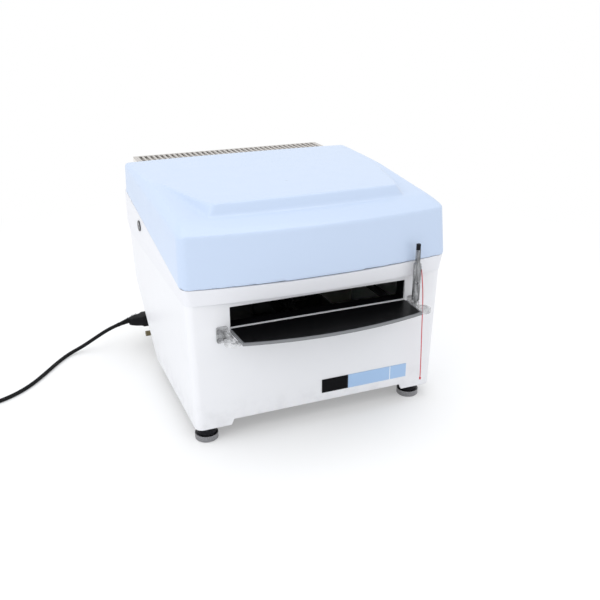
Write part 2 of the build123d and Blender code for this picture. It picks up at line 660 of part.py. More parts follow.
def wheel_motors():
    """Two motors, each with a shaft for its wheel and a foot on the deck."""
    motors = Part()
    for side in (-1, 1):
        x0, x1 = sorted((side * (WHEEL_X + 8), side * (WHEEL_X + 27)))
        motor = block(x0, x1, WHEEL_BACK - 30, WHEEL_BACK - 2 + 10, HEAD_Z - 17.5, HEAD_Z + 17.5)
        s0, s1 = sorted((side * (WHEEL_X - 9), side * (WHEEL_X + 10)))
        motor += rod_x(s0, s1, WHEEL_BACK, HEAD_Z, 3)
        motor += block(x0, x1, WHEEL_BACK - 26, WHEEL_BACK - 4, 227.5, HEAD_Z - 17.5)
        motors += motor
    return motors


# Plate stage
def rail_frame():
    """Two round rails on four posts, and the fork that carries the idler."""
    blocks = mirrored(rod_y(RAIL_X, 14, 384, RAIL_Z, 6))
    for y0, y1 in ((12, 28), (372, 386)):
        blocks += mirrored(block(RAIL_X - 11, RAIL_X + 11, y0, y1, 36, RAIL_Z + 10))
    fork = block(-10, 10, IDLER_BACK - 9, IDLER_BACK + 9, 36, 151)
    fork -= block(-6.4, 6.4, IDLER_BACK - 20, IDLER_BACK + 20, 60, 160)
    fork += rod_x(-10, 10, IDLER_BACK, BELT_Z, 2.5)
    return blocks + fork


def y_belt():
    """Belt loop over both pulleys."""
    centre = (IDLER_BACK + DRIVE_BACK) / 2
    span = DRIVE_BACK - IDLER_BACK
    inner_r = PULLEY_R + 0.2
    plane = Plane(origin=(-4, back(centre), BELT_Z), x_dir=(0, 1, 0), z_dir=(1, 0, 0))
    loop = SlotCenterToCenter(span, 2 * (inner_r + 1.2)) - SlotCenterToCenter(span, 2 * inner_r)
    return extrude(plane * loop, amount=8)


def pulley(y):
    """Flanged pulley with six lightening holes."""
    wheel = rod_x(-4.2, 4.2, y, BELT_Z, PULLEY_R) + rod_x(-5.6, -4.4, y, BELT_Z, PULLEY_R + 1.5)
    wheel += rod_x(4.4, 5.6, y, BELT_Z, PULLEY_R + 1.5) + rod_x(-5, 5, y, BELT_Z, 6)
    for k in range(6):
        turn = math.radians(60 * k)
        wheel -= rod_x(-7, 7, y + 6.8 * math.cos(turn), BELT_Z + 6.8 * math.sin(turn), 1.4)
    return wheel


def y_idler():
    """Front pulley, loose on the fork's pin."""
    return pulley(IDLER_BACK) - rod_x(-10, 10, IDLER_BACK, BELT_Z, 2.5 + FIT)


def y_pulley():
    """Rear pulley with its drive shaft."""
    return pulley(DRIVE_BACK) + rod_x(-6, 24, DRIVE_BACK, BELT_Z, 2.5)


def y_motor():
    """Drive motor on its angle."""
    body = block(9, 50, DRIVE_BACK - 21, DRIVE_BACK + 12, BELT_Z - 21, BELT_Z + 21)
    body = chamfer(body.edges().filter_by(Axis.X), 4)
    body += block(9, 12, DRIVE_BACK - 21, DRIVE_BACK + 12, 36, BELT_Z - 15)
    body += block(9, 40, DRIVE_BACK - 21, DRIVE_BACK + 12, 36, 39)
    return body - rod_x(0, 26, DRIVE_BACK, BELT_Z, 2.5 + FIT)


def y_bridge():
    """Cross beam on the rails, with posts and rods for the carrier."""
    y0, y1 = BRIDGE_BACK - 16, BRIDGE_BACK + 16
    beam = block(-166, 166, y0, y1, 157.5, 176.5)
    beam -= mirrored(rod_y(RAIL_X, y0 - 1, y1 + 1, RAIL_Z, 6 + FIT))
    posts = mirrored(block(128, 138, y0, y1, 176.5, 192.5))
    posts -= rod_x(-140, 140, BRIDGE_BACK, SCREW_Z, 4 + FIT)
    rods = rod_x(-138, 138, BRIDGE_BACK - 11, SCREW_Z, 3) + rod_x(-138, 138, BRIDGE_BACK + 11, SCREW_Z, 3)
    clamp = block(-8, 8, y0 + 8, y1 - 8, 156.4, 157.5)
    return beam + posts + rods + clamp


def x_motor():
    """Motor of the cross screw."""
    motor = block(138, 164, BRIDGE_BACK - 15, BRIDGE_BACK + 15, 176.5, 207)
    motor = chamfer(motor.edges().filter_by(Axis.X), 3)
    return motor - rod_x(130, 152, BRIDGE_BACK, SCREW_Z, 4 + FIT)


def x_screw():
    """Cross screw with its thread as plain grooves."""
    screw = rod_x(-139, 151, BRIDGE_BACK, SCREW_Z, 4)
    for k in range(23):
        x = -121 + k * 11
        groove = rod_x(x - 1.2, x + 1.2, BRIDGE_BACK, SCREW_Z, 5)
        screw -= groove - rod_x(x - 2, x + 2, BRIDGE_BACK, SCREW_Z, 3.4)
    return screw


def plate_carrier():
    """Slide block on the cross rods, arm and tray with the microplate pocket."""
    slide = block(-24, 24, BRIDGE_BACK - 15.5, BRIDGE_BACK + 15.5, 178, 194)
    slide -= rod_x(-30, 30, BRIDGE_BACK, SCREW_Z, 4 + FIT)
    for dy in (-11, 11):
        slide -= rod_x(-30, 30, BRIDGE_BACK + dy, SCREW_Z, 3 + FIT)
    arm = block(-34, 34, PLATE_BACK + 44, BRIDGE_BACK + 15.5, 194, 198)
    tray = block(-74, 74, PLATE_BACK - 49, PLATE_BACK + 49, 192.5, 203)
    tray = fillet(tray.edges().filter_by(Axis.Z), 5)
    tray -= block(-64.2, 64.2, PLATE_BACK - 43.1, PLATE_BACK + 43.1, 196, 210)
    tray -= block(-56, 56, PLATE_BACK - 36, PLATE_BACK + 36, 190, 200)
    for sign in (-1, 1):
        tray -= block(sign * 69 - 6, sign * 69 + 6, PLATE_BACK - 14, PLATE_BACK + 14, 196, 210)
    return slide + arm + tray


# Power supply and electronics on the base
def power_supply():
    """Perforated power supply case."""
    case = block(60, 132, 290, 395, 36, 84)
    case = case - block(62, 130, 292, 393, 38, 90) + block(60, 132, 290, 395, 82, 84)
    for row in range(8):
        for col in range(6):
            case -= rod_z(69 + col * 11, 304 + row * 11, 80, 90, 3)
    return case


def main_board():
    """Main board on its four posts, with its larger parts."""
    board = block(-168, 30, 62, 250, 46, 47.6)
    for x in (-160, 22):
        for y in (70, 242):
            board += rod_z(x, y, 36, 46, 4)
    chips = ((-120, 110, 36, 36, 3), (-60, 150, 24, 24, 3), (-20, 90, 16, 30, 4), (-130, 190, 50, 14, 12),
             (-40, 215, 60, 10, 14), (0, 140, 18, 18, 10))
    for x, y, wide, deep, tall in chips:
        board += block(x - wide / 2, x + wide / 2, y - deep / 2, y + deep / 2, 47.6, 47.6 + tall)
    return board


# Feet
def foot(x, y):
    """Levelling foot: knurled metal disc and its threaded stud."""
    disc = rod_z(x, y, 0, 10.6, 18.2)
    disc = chamfer(disc.edges().group_by(Axis.Z)[0], 1.6)
    for k in range(36):
        turn = math.radians(10 * k)
        disc -= rod_z(x + 18.6 * math.cos(turn), y + 18.6 * math.sin(turn), 3, 12, 0.8)
    return disc + rod_z(x, y, 10.6, 40, 3.1)


def foot_collars():
    """Four black collars between the discs and the base plate."""
    collars = Part()
    for x, y in FEET.values():
        ring = rod_z(x, y, 10.9, SKIRT_Z - 0.4, 15.6) + rod_z(x, y, 20, 33, 10.4)
        collars += chamfer(ring.edges().group_by(Axis.Z)[0], 0.8) - rod_z(x, y, 10, 35, 3.1 + FIT)
    return collars


# Screws: one kind through the brackets and the rear hood
def screws():
    items = Part()
    for x, z in BRACKET_SCREWS:
        head = rod_y(x, -4.8, -3, z, HEAD_R) - block(x - 2, x + 2, -5.2, -4.2, z - 0.4, z + 0.4)
        items += head + rod_y(x, -3, 6, z, 1.5)
    for x, z in REAR_SCREWS:
        head = rod_y(x, HOOD_REAR, HOOD_REAR + 1.8, z, HEAD_R)
        head -= block(x - 2, x + 2, HOOD_REAR + 1.4, HOOD_REAR + 2.2, z - 0.4, z + 0.4)
        items += head + rod_y(x, HOOD_REAR - 9, HOOD_REAR, z, 1.5)
    return items


# Mains lead
def tube(points, diameter):
    """Tube along straight runs joined by tangent arcs; prints its radii and length."""
    spots = [Vector(x, back(y), z) for x, y, z in points]
    radii = []
    for a, b, c in zip(spots, spots[1:], spots[2:]):
        turn = math.radians((b - a).get_angle(c - b))
        run = min((b - a).length, (c - b).length)
        radii.append(0.45 * run / math.tan(turn / 2))
    path = FilletPolyline(spots, radius=radii)
    wire = Wire(path.edges())
    section = Plane(origin=wire @ 0, z_dir=wire % 0) * Circle(diameter / 2)
    solid = sweep(section, path=wire)
    expected = math.pi * diameter ** 2 / 4 * wire.length
    print("tube length", round(wire.length, 1), "radii", [round(r, 1) for r in radii],
          "volume ratio", round(solid.volume / expected, 4))
    return solid


def biarc(p0, t0, p1, t1):
    """Two tangent arcs between points with given directions."""
    gap = p1 - p0
    both = t0 + t1
    bend = 2 * (1 - t0.dot(t1))
    along = gap.dot(both)
    reach = (-along + math.sqrt(along ** 2 + bend * gap.dot(gap))) / bend
    joint = (p0 + p1 + (t0 - t1) * reach) * 0.5
    first = TangentArc(p0, joint, tangent=t0)
    second = TangentArc(joint, p1, tangent=first % 1)
    return [first, second]


def coil_spot(turn):
    """Centre of the cord after so many turns of the coil, and its direction there."""
    x0, depth, low = COIL_START
    total = 2 * COIL_TURNS

    def spot(t):
        radius = COIL_OUTER - COIL_PITCH * min(t, total - t)
        climb = min(max((t - COIL_TURNS + 0.25) / 0.5, 0), 1)
        height = low + COIL_PITCH * climb ** 2 * (3 - 2 * climb)
        angle = math.pi / 2 + 2 * math.pi * t
        across = back(depth) - COIL_OUTER + radius * math.sin(angle)
        return Vector(x0 + radius * math.cos(angle), across, height)

    step = 1e-4
    if turn < step or turn > total - step:
        return spot(turn), Vector(-1, 0, 0)
    return spot(turn), (spot(turn + step) - spot(turn - step)).normalized()


def mains_coil():
    """Coil in two layers, wound inwards, then outwards on top; prints its least gap to itself."""
    spots = [coil_spot(k / 4) for k in range(8 * COIL_TURNS + 1)]
    start, end = spots[0][0], spots[-1][0]
    run = Vector(-LEAD_D, 0, 0)
    edges = [Line(start - run, start)]
    for (p0, t0), (p1, t1) in zip(spots, spots[1:]):
        edges += biarc(p0, t0, p1, t1)
    edges.append(Line(end, end + run))
    wire = Wire([part_edge for piece in edges for part_edge in piece.edges()])
    solid = sweep(Plane(origin=wire @ 0, z_dir=wire % 0) * Circle(LEAD_D / 2), path=wire)
    samples = [wire @ (k / 720) for k in range(721)]
    apart = int(720 * 2 * LEAD_D * 2 / wire.length) + 1
    least = min((a - b).length for i, a in enumerate(samples) for b in samples[i + apart:])
    print("coil length", round(wire.length, 1), "least gap", round(least - LEAD_D, 2), "volume ratio",
          round(solid.volume / (math.pi * LEAD_D ** 2 / 4 * wire.length), 4))
    return solid


def pose(x, depth, z, way):
    """Plane across a cord at a point, facing along it."""
    return Plane(origin=(x, back(depth), z), x_dir=(0, 1, 0), z_dir=way)


def mains_connector():
    """Moulded line socket on the inlet: nose, head, grip and bent strain relief."""
    y, z = INLET
    face_x = -BAY_HALF - 3.1
    nose = block(face_x, face_x + 12.5, y - 12, y + 12, z - 8, z + 8)
    nose = chamfer(nose.edges().filter_by(Axis.X).group_by(Axis.Z)[0], 4)
    head = block(face_x - 24, face_x, y - 14.2, y + 14.2, z - 10.2, z + 10.2)
    head = fillet(head.edges().filter_by(Axis.X), 2.5)
    grip = loft([pose(face_x - 24, y, z, (-1, 0, 0)) * RectangleRounded(24, 17, 3),
                 pose(face_x - 34, y, z, (-1, 0, 0)) * RectangleRounded(20, 15.5, 4),
                 pose(face_x - 44, y, z, (-1, 0, 0)) * RectangleRounded(13.4, 13, 5.5)])
    start, way = LEAD_POINTS[0], Vector(-18.8, 2.0, -6.4).normalized()
    relief = loft([pose(face_x - 44, y, z, (-1, 0, 0)) * Circle(6.2),
                   pose(face_x - 53, y + 0.4, z - 1.2, (-0.98, 0.05, -0.17)) * Circle(5.2),
                   pose(*start, way) * Circle(4.3)])
    for slot in (6, 10, 14):
        cut = pose(start[0] - way.X * slot, start[1] - way.Y * slot, start[2] - way.Z * slot, way)
        ring = extrude(cut * (Circle(8) - Circle(3.4 + 0.09 * slot)), 0.8, both=True)
        relief -= ring
    shape = nose + head + grip + relief
    for dy, dz in ((-7, -2), (7, -2), (0, 3)):
        shape -= block(face_x - 19, face_x + 14, y + dy - 1.2, y + dy + 1.2, z + dz - 2.2, z + dz + 2.2)
    return shape


def mains_plug():
    """Generic two-pin earthed plug at the end of the tail."""
    x, y, z = TAIL_POINTS[-1]
    way = Vector(-20, 5.8, 1.6).normalized()
    relief = loft([pose(x, y, z, way) * Circle(4.4),
                   pose(x + way.X * 22, y + way.Y * 22, z + way.Z * 22, way) * Circle(6.4)])
    shell = loft([pose(x + way.X * 22, y + way.Y * 22, z + way.Z * 22, way) * RectangleRounded(22, 15, 5),
                  pose(x + way.X * 34, y + way.Y * 34, z + way.Z * 34, way) * RectangleRounded(34, 22, 8),
                  pose(x + way.X * 50, y + way.Y * 50, z + way.Z * 50, way) * RectangleRounded(36, 24, 10)])
    face = pose(x + way.X * 50, y + way.Y * 50, z + way.Z * 50, way)
    pins = extrude(face * (Pos(-9.5, 0, 0) * Circle(2.4) + Pos(9.5, 0, 0) * Circle(2.4)), 19)
    return relief + shell + pins


NODES = {
    "base_plate": base_plate, "housing_shell": housing_shell, "collar_frame": collar_frame,
    "lid_seal": lid_seal, "rear_hood": rear_hood, "rear_grille": rear_grille,
    "connector_panel": connector_panel, "bay_panel_right": lambda: bay_panel(1),
    "label_dark": label_dark, "label_blue": label_blue, "slot_tunnel": slot_tunnel,
    "deck_plate": deck_plate, "optics_head": optics_head,
    "lamp_housing": lamp_housing, "detector_tube": detector_tube, "wheel_motors": wheel_motors,
    "rail_frame": rail_frame, "y_motor": y_motor, "y_belt": y_belt,
    "power_supply": power_supply, "main_board": main_board, "fan_frame": fan_frame,
    "power_inlet": power_inlet, "io_sockets": io_sockets, "rocker_frame": rocker_frame,
    "lock_ring": lock_ring, "lid_hinge_leaves": lid_hinge_leaves,
    "bracket_left": lambda: shelf_bracket(-1), "bracket_right": lambda: shelf_bracket(1),
    "screws": screws, "foot_collars": foot_collars,
    "lid_shell": lid_shell, "lid_hinge_arms": lid_hinge_arms,
    "shelf_top": shelf_top, "shelf_trim": shelf_trim, "shelf_rod": shelf_rod,
    "lock_pin": lock_pin, "lock_pin_tip": lock_pin_tip,
    "pin_cord": lambda: tube(CORD_POINTS, CORD_D),
    "y_bridge": y_bridge, "x_motor": x_motor, "x_screw": x_screw, "plate_carrier": plate_carrier,
    "y_pulley": y_pulley, "y_idler": y_idler,
    "filter_wheel_left": lambda: filter_wheel(-1), "filter_wheel_right": lambda: filter_wheel(1),
    "fan_rotor": fan_rotor, "power_rocker": power_rocker, "lock_barrel": lock_barrel,
    "earth_knob": earth_knob,
    "mains_connector": mains_connector, "mains_lead": lambda: tube(LEAD_POINTS, LEAD_D),
    "mains_coil": mains_coil, "mains_tail": lambda: tube(TAIL_POINTS, LEAD_D), "mains_plug": mains_plug,
}
for name, (x, y) in FEET.items():
    NODES["foot_" + name] = lambda x=x, y=y: foot(x, y)

os.makedirs("parts", exist_ok=True)
for name, make in NODES.items():
    shape = make()
    shape.label = name
    print(name, "solids", len(shape.solids()), "volume", round(shape.volume), "valid", shape.is_valid)
    export_step(shape, f"parts/{name}.step")
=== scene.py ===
"""Looks of the plate reader: finishes, cords, moulded lid, fittings, camera and light."""

import json
import logging
import math
from dataclasses import dataclass, field
from enum import Enum
from typing import Callable, Optional, Sequence, Union

import bpy
from mathutils import Matrix, Vector

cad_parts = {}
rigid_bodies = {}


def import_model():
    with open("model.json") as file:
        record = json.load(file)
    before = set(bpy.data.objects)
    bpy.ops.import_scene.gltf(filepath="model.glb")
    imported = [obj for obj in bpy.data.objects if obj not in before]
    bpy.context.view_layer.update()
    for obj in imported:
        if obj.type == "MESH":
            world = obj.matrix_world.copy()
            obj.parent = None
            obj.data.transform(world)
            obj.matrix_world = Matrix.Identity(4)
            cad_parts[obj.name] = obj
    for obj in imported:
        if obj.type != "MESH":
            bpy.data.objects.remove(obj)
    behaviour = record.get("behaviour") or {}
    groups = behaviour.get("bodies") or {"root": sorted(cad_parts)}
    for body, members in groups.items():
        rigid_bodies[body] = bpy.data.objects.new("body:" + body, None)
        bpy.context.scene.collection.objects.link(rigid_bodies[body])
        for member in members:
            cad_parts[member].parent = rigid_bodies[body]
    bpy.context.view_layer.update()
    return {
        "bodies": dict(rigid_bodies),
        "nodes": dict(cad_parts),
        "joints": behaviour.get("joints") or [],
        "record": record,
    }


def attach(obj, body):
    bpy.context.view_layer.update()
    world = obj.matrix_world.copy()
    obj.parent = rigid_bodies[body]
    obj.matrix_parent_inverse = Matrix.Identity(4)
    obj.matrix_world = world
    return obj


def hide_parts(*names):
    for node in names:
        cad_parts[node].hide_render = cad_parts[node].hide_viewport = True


Point = tuple[float, float, float]
Colour = tuple[float, float, float]
Value = Union[float, "Signal"]

LOG = logging.getLogger("plate_reader")
FRONT = -0.1914
MM = 0.001
BUMP_DEPTH = 0.0004
GLOSS_SPREAD = 0.12
LINE_GLOSS_SPREAD = 0.18
GLOSS_SCALE = 5.0


def at(x: float, depth: float, z: float) -> Vector:
    """Point of the object in metres.

    Args:
        x: Offset to the right in millimetres.
        depth: Distance behind the front face in millimetres.
        z: Height in millimetres.

    Returns:
        The point in the frame's metres.
    """
    return Vector((x * MM, FRONT + depth * MM, z * MM))


class Signal:
    """A shader socket that takes part in Python arithmetic."""

    def __init__(self, graph: "Graph", socket: bpy.types.NodeSocket) -> None:
        """Keeps the graph and the socket.

        Args:
            graph: Graph that the socket belongs to.
            socket: Output socket that carries the number.
        """
        self.graph = graph
        self.socket = socket

    def _with(self, operation: str, *values: Value) -> "Signal":
        """Adds one Math node.

        Args:
            operation: Math operation.
            values: Its inputs in order.

        Returns:
            The result.
        """
        node = self.graph.node("ShaderNodeMath", {"operation": operation}, dict(enumerate(values)))
        return Signal(self.graph, node.outputs[0])

    def __add__(self, other: Value) -> "Signal":
        """Sum."""
        return self._with("ADD", self, other)

    __radd__ = __add__

    def __sub__(self, other: Value) -> "Signal":
        """Difference."""
        return self._with("SUBTRACT", self, other)

    def __rsub__(self, other: Value) -> "Signal":
        """Difference from a number."""
        return self._with("SUBTRACT", other, self)

    def __mul__(self, other: Value) -> "Signal":
        """Product."""
        return self._with("MULTIPLY", self, other)

    __rmul__ = __mul__

    def size(self) -> "Signal":
        """Absolute value."""
        return self._with("ABSOLUTE", self)

    def below(self, limit: float) -> "Signal":
        """One where the value is under the limit."""
        return self._with("LESS_THAN", self, limit)

    def ramp(self, low: float, high: float) -> "Signal":
        """Smooth step between two values.

        Args:
            low: Value that gives zero.
            high: Value that gives one.

        Returns:
            The eased value.
        """
        node = self.graph.node("ShaderNodeMapRange", {"interpolation_type": "SMOOTHSTEP"},
                               {"Value": self, "From Min": low, "From Max": high})
        return Signal(self.graph, node.outputs[0])


class Graph:
    """Node graph of one material."""

    def __init__(self, name: str) -> None:
        """Starts an empty material.

        Args:
            name: Material name.
        """
        self.material = bpy.data.materials.new(name)
        self.material.use_nodes = True
        self.tree = self.material.node_tree
        self.tree.nodes.clear()

    def node(self, kind: str, settings: Optional[dict] = None,
             inputs: Optional[dict] = None) -> bpy.types.Node:
        """Adds a node.

        Args:
            kind: Node type.
            settings: Properties, set first.
            inputs: Values or links by socket name or number.

        Returns:
            The new node.
        """
        made = self.tree.nodes.new(kind)
        for key, value in (settings or {}).items():
            setattr(made, key, value)
        for key, value in (inputs or {}).items():
            socket = made.inputs[key]
            if isinstance(value, Signal):
                self.tree.links.new(value.socket, socket)
            elif isinstance(value, bpy.types.NodeSocket):
                self.tree.links.new(value, socket)
            else:
                socket.default_value = value
        return made

    def place(self) -> bpy.types.NodeSocket:
        """Object coordinates."""
        return self.node("ShaderNodeTexCoord").outputs["Object"]

    def stretched(self, scale: Point) -> bpy.types.NodeSocket:
        """Object coordinates scaled by axis.

        Args:
            scale: Factor for each axis.

        Returns:
            The scaled coordinates.
        """
        return self.node("ShaderNodeMapping", {}, {"Vector": self.place(), "Scale": scale}).outputs[0]

    def axes(self) -> tuple[Signal, Signal, Signal]:
        """Object coordinates as three numbers in metres."""
        split = self.node("ShaderNodeSeparateXYZ", {}, {0: self.place()})
        return tuple(Signal(self, out) for out in split.outputs)

    def noise(self, scale: float, detail: float = 2.0,
              vector: Optional[bpy.types.NodeSocket] = None) -> Signal:
        """Soft noise from 0 to 1.

        Args:
            scale: Cells per metre.
            detail: Octaves.
            vector: Coordinates, the object's own unless given.

        Returns:
            The noise value.
        """
        made = self.node("ShaderNodeTexNoise", {}, {"Vector": vector or self.place(), "Scale": scale,
                                                    "Detail": detail})
        return Signal(self, made.outputs[0])

    def mix(self, factor: Value, first: Union[Colour, bpy.types.NodeSocket],
            second: Union[Colour, bpy.types.NodeSocket]) -> bpy.types.NodeSocket:
        """Mix of two colours.

        Args:
            factor: Share of the second.
            first: Colour or link.
            second: Colour or link.

        Returns:
            The mixed colour.
        """
        made = self.node("ShaderNodeMix", {"data_type": "RGBA"}, {0: factor})
        for index, colour in ((6, first), (7, second)):
            if isinstance(colour, bpy.types.NodeSocket):
                self.tree.links.new(colour, made.inputs[index])
            else:
                made.inputs[index].default_value = (*colour, 1.0)
        return made.outputs[2]

    def surface(self, inputs: dict) -> bpy.types.Material:
        """Closes the graph with a Principled shader.

        Args:
            inputs: Values or links of the shader.

        Returns:
            The material.
        """
        shader = self.node("ShaderNodeBsdfPrincipled", {}, inputs)
        self.node("ShaderNodeOutputMaterial", {}, {"Surface": shader.outputs[0]})
        return self.material


def shade(colour: Colour, factor: float) -> Colour:
    """Colour made darker or lighter.

    Args:
        colour: Linear colour.
        factor: Multiplier.

    Returns:
        The changed colour.
    """
    return tuple(min(channel * factor, 1.0) for channel in colour)


@dataclass(frozen=True)
class Finish:
    """Moulded or painted surface with a faint mottle and a fine grain.

    Sizes of mottle and grain are cells per metre.
    """

    name: str
    colour: Colour
    roughness: float = 0.45
    metallic: float = 0.0
    mottle: float = 0.03
    mottle_scale: float = 18.0
    grain: float = 0.08
    grain_scale: float = 2200.0
    coat: float = 0.0
    specular: float = 0.5

    def tint(self, graph: Graph) -> bpy.types.NodeSocket:
        """Base colour over the surface."""
        cloud = graph.noise(self.mottle_scale, 3.0)
        return graph.mix(cloud, shade(self.colour, 1 - self.mottle), shade(self.colour, 1 + self.mottle))

    def relief(self, graph: Graph) -> Signal:
        """Height of the fine grain."""
        return graph.noise(self.grain_scale, 2.0)

    def gloss(self, graph: Graph) -> Signal:
        """Roughness over the surface."""
        cloud = graph.noise(self.mottle_scale * GLOSS_SCALE, 2.0)
        return cloud * GLOSS_SPREAD + (self.roughness - GLOSS_SPREAD / 2)

    def build(self) -> bpy.types.Material:
        """Makes the material."""
        graph = Graph(self.name)
        bump = graph.node("ShaderNodeBump", {}, {"Strength": self.grain, "Distance": BUMP_DEPTH,
                                                 "Height": self.relief(graph)})
        return graph.surface({"Base Color": self.tint(graph), "Roughness": self.gloss(graph),
                              "Metallic": self.metallic, "Coat Weight": self.coat,
                              "Specular IOR Level": self.specular, "Normal": bump.outputs[0]})


@dataclass(frozen=True)
class Brushed(Finish):
    """Metal with fine lines along one axis."""

    along: Point = (1.0, 12.0, 12.0)

    def relief(self, graph: Graph) -> Signal:
        """Height of the brushing lines."""
        return graph.noise(self.grain_scale, 2.0, graph.stretched(self.along))

    def gloss(self, graph: Graph) -> Signal:
        """Roughness that follows the lines."""
        lines = graph.noise(self.grain_scale / 4, 2.0, graph.stretched(self.along))
        return lines * LINE_GLOSS_SPREAD + (self.roughness - LINE_GLOSS_SPREAD / 2)


@dataclass(frozen=True)
class LidFinish(Finish):
    """Pale blue moulding with small scuffs where hands have touched it."""

    scuffs: tuple[tuple[Point, float], ...] = ()

    def tint(self, graph: Graph) -> bpy.types.NodeSocket:
        """Base colour with the scuffs."""
        base = super().tint(graph)
        x, y, z = graph.axes()
        wear: Value = 0.0
        for (px, py, pz), reach in self.scuffs:
            span = (x - px).size() + (y - py).size() * 1.6 + (z - pz).size()
            wear = (1 - span.ramp(reach * 0.3, reach)) * 0.55 + wear
        return graph.mix(wear * graph.noise(900.0, 2.0).ramp(0.3, 0.6), base, shade(self.colour, 0.55))


@dataclass(frozen=True)
class Label(Finish):
    """Printed plastic strip, bare but for a thin pale line."""

    line_x: float = 0.0
    line: Colour = (0.8, 0.85, 0.9)

    def tint(self, graph: Graph) -> bpy.types.NodeSocket:
        """Base colour with the thin line."""
        x = graph.axes()[0]
        return graph.mix((x - self.line_x).size().below(0.0007), super().tint(graph), self.line)


@dataclass(frozen=True)
class Clear(Finish):
    """Clear plastic, thin where it is looked through, with painted shade darkening it towards its edges and
    painted darker streaks that stand in for light bent through it.
    """

    # painted shade: the colour the plastic takes towards its edges, standing in for the dark seen through
    # it there
    edge: Colour = (0.02, 0.021, 0.022)
    thin: float = 0.20
    thick: float = 0.94
    rim_from: float = 0.35
    rim_to: float = 0.85
    # stretch, extra cover and darkness of the painted refraction streaks
    streak: Point = (95.0, 95.0, 140.0)
    streak_cover: float = 0.25
    depth: float = 0.30

    def build(self) -> bpy.types.Material:
        """Makes the material."""
        graph = Graph(self.name)
        weight = graph.node("ShaderNodeLayerWeight", {}, {"Blend": 0.35})
        # painted shade and painted refraction: a dark rim where the surface turns away and darker streaks
        # across the body stand in for light bent through the plastic
        rim = Signal(graph, weight.outputs["Facing"]).ramp(self.rim_from, self.rim_to)
        painted_refraction_streaks = graph.noise(1.0, 1.5, graph.stretched(self.streak)).ramp(0.44, 0.58)
        body = graph.mix(painted_refraction_streaks, self.tint(graph), shade(self.colour, self.depth))
        bump = graph.node("ShaderNodeBump", {}, {"Strength": self.grain, "Distance": BUMP_DEPTH,
                                                 "Height": self.relief(graph)})
        cover = (rim * (self.thick - self.thin) + self.thin) + painted_refraction_streaks * self.streak_cover
        return graph.surface({"Base Color": graph.mix(rim, body, self.edge),
                              "Roughness": self.roughness, "Coat Weight": self.coat,
                              "Alpha": cover, "Normal": bump.outputs[0]})


@dataclass(frozen=True)
class Circuit(Finish):
    """Green board with traces and pads."""

    def tint(self, graph: Graph) -> bpy.types.NodeSocket:
        """Base colour with traces."""
        tracks = graph.node("ShaderNodeTexBrick", {"offset": 0.35}, {
            "Vector": graph.place(), "Scale": 120.0, "Mortar Size": 0.04,
            "Color1": (*self.colour, 1), "Color2": (*shade(self.colour, 0.8), 1),
            "Mortar": (*shade(self.colour, 1.7), 1)})
        return tracks.outputs[0]


@dataclass(frozen=True)
class DarkenedLow(Finish):
    """Pale painted sheet, darker in noise patches towards its bottom."""

    floor_z: float = 0.03
    reach: float = 0.05
    strength: float = 0.35

    def tint(self, graph: Graph) -> bpy.types.NodeSocket:
        """Base colour, darker in patches low down."""
        z = graph.axes()[2]
        low = 1 - (z - self.floor_z).ramp(0.0, self.reach)
        # darker in noise patches below floor_z, fading out by floor_z + reach
        low_patches = low * graph.noise(60.0, 3.0).ramp(0.4, 0.7) * self.strength
        return graph.mix(low_patches, super().tint(graph), shade(self.colour, 0.8))


